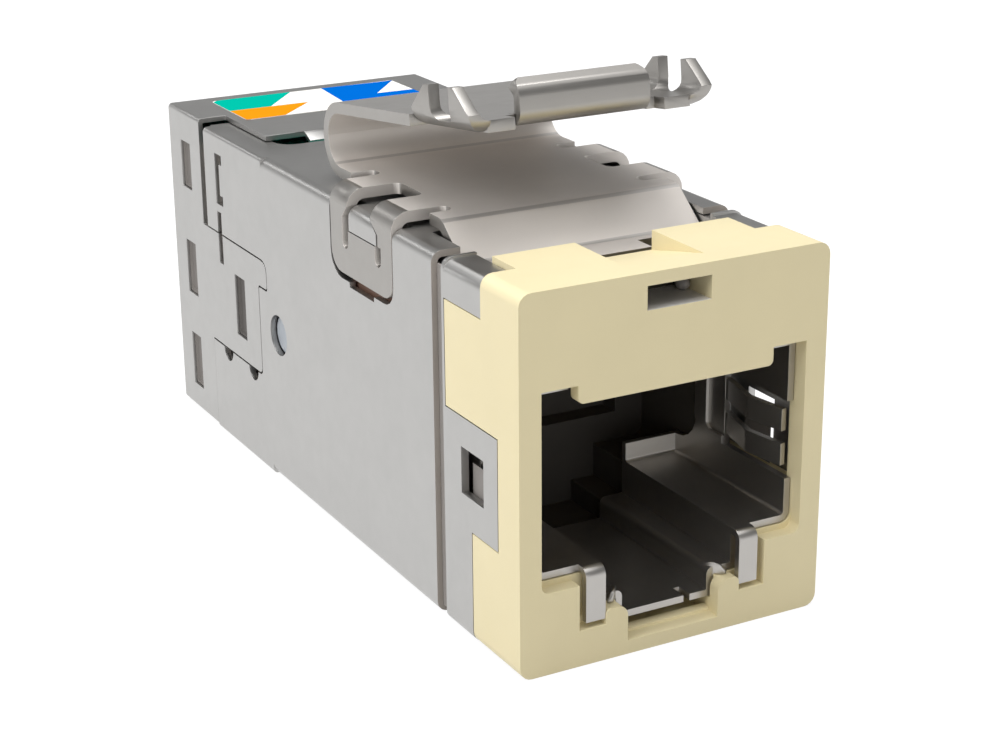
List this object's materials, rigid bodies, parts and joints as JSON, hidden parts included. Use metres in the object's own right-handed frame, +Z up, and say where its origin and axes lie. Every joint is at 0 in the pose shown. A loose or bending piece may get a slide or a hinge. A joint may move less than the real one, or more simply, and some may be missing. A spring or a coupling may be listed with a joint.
{
  "type": "keystone jack",
  "caption": "Shielded keystone jack with an almond face, a nickel-plated folded shell, a sprung catch on top and a slide-on cable cap with a wiring label.",
  "frame": {"origin": "on the plane of the front face, in the middle of the jack's width, level with its underside", "axes": "+X across the jack, +Y from the face towards the cable, +Z up towards the catch"},
  "size_m": [0.0144, 0.0375, 0.0226],
  "materials": {
    "almond_plastic": "semi-gloss moulded",
    "black_plastic": "moulded",
    "pale_plastic": "moulded",
    "teal_plastic": "moulded",
    "shell_metal": "nickel-plated sheet, satin",
    "liner_metal": "nickel-plated sheet",
    "spring_steel": "satin spring steel",
    "contact_gold": "gold-plated",
    "blade_tin": "tin-plated",
    "board": "varnished board",
    "collar_rubber": "matte",
    "label_film": "printed film"
  },
  "bodies": {
    "jack": {"bezel": "almond_plastic", "front_shield": "shell_metal", "port_liner": "liner_metal", "port_housing": "black_plastic", "contact_carrier": "black_plastic", "contact_leads": "contact_gold", "circuit_board": "board", "idc_block": "pale_plastic", "pair_divider": "liner_metal", "main_shell": "shell_metal", "catch_plate": "spring_steel", "idc_blade_1": "blade_tin", "idc_blade_2": "blade_tin", "idc_blade_3": "blade_tin", "idc_blade_4": "blade_tin", "idc_blade_5": "blade_tin", "idc_blade_6": "blade_tin", "idc_blade_7": "blade_tin", "idc_blade_8": "blade_tin"},
    "catch": {"catch_arm": "spring_steel"},
    "cap": {"cap_shield": "shell_metal", "cap_liner": "liner_metal", "wire_manager": "teal_plastic", "cable_collar": "collar_rubber", "wiring_label": "label_film"},
    "contact_spring_1": {"contact_1": "contact_gold"},
    "contact_spring_2": {"contact_2": "contact_gold"},
    "contact_spring_3": {"contact_3": "contact_gold"},
    "contact_spring_4": {"contact_4": "contact_gold"},
    "contact_spring_5": {"contact_5": "contact_gold"},
    "contact_spring_6": {"contact_6": "contact_gold"},
    "contact_spring_7": {"contact_7": "contact_gold"},
    "contact_spring_8": {"contact_8": "contact_gold"}
  },
  "joints": [
    {"name": "catch_bend", "type": "hinge", "parent": "jack", "child": "catch", "pos_m": [0, 0.02032, 0.01802], "axis": [1, 0, 0], "range_deg": [0, 14], "stiffness_Nm_per_rad": 0.4},
    {"name": "cap_slide", "type": "slide", "parent": "jack", "child": "cap", "axis": [0, 1, 0], "range_m": [0, 0.01]},
    {"name": "contact_flex_1", "type": "hinge", "parent": "jack", "child": "contact_spring_1", "pos_m": [-0.00357, 0.00645, 0.0122], "axis": [1, 0, 0], "range_deg": [0, 12], "stiffness_Nm_per_rad": 0.04},
    {"name": "contact_flex_2", "type": "hinge", "parent": "jack", "child": "contact_spring_2", "pos_m": [-0.00255, 0.00645, 0.0122], "axis": [1, 0, 0], "range_deg": [0, 12], "stiffness_Nm_per_rad": 0.04},
    {"name": "contact_flex_3", "type": "hinge", "parent": "jack", "child": "contact_spring_3", "pos_m": [-0.00153, 0.00645, 0.0122], "axis": [1, 0, 0], "range_deg": [0, 12], "stiffness_Nm_per_rad": 0.04},
    {"name": "contact_flex_4", "type": "hinge", "parent": "jack", "child": "contact_spring_4", "pos_m": [-0.00051, 0.00645, 0.0122], "axis": [1, 0, 0], "range_deg": [0, 12], "stiffness_Nm_per_rad": 0.04},
    {"name": "contact_flex_5", "type": "hinge", "parent": "jack", "child": "contact_spring_5", "pos_m": [0.00051, 0.00645, 0.0122], "axis": [1, 0, 0], "range_deg": [0, 12], "stiffness_Nm_per_rad": 0.04},
    {"name": "contact_flex_6", "type": "hinge", "parent": "jack", "child": "contact_spring_6", "pos_m": [0.00153, 0.00645, 0.0122], "axis": [1, 0, 0], "range_deg": [0, 12], "stiffness_Nm_per_rad": 0.04},
    {"name": "contact_flex_7", "type": "hinge", "parent": "jack", "child": "contact_spring_7", "pos_m": [0.00255, 0.00645, 0.0122], "axis": [1, 0, 0], "range_deg": [0, 12], "stiffness_Nm_per_rad": 0.04},
    {"name": "contact_flex_8", "type": "hinge", "parent": "jack", "child": "contact_spring_8", "pos_m": [0.00357, 0.00645, 0.0122], "axis": [1, 0, 0], "range_deg": [0, 12], "stiffness_Nm_per_rad": 0.04}
  ]
}
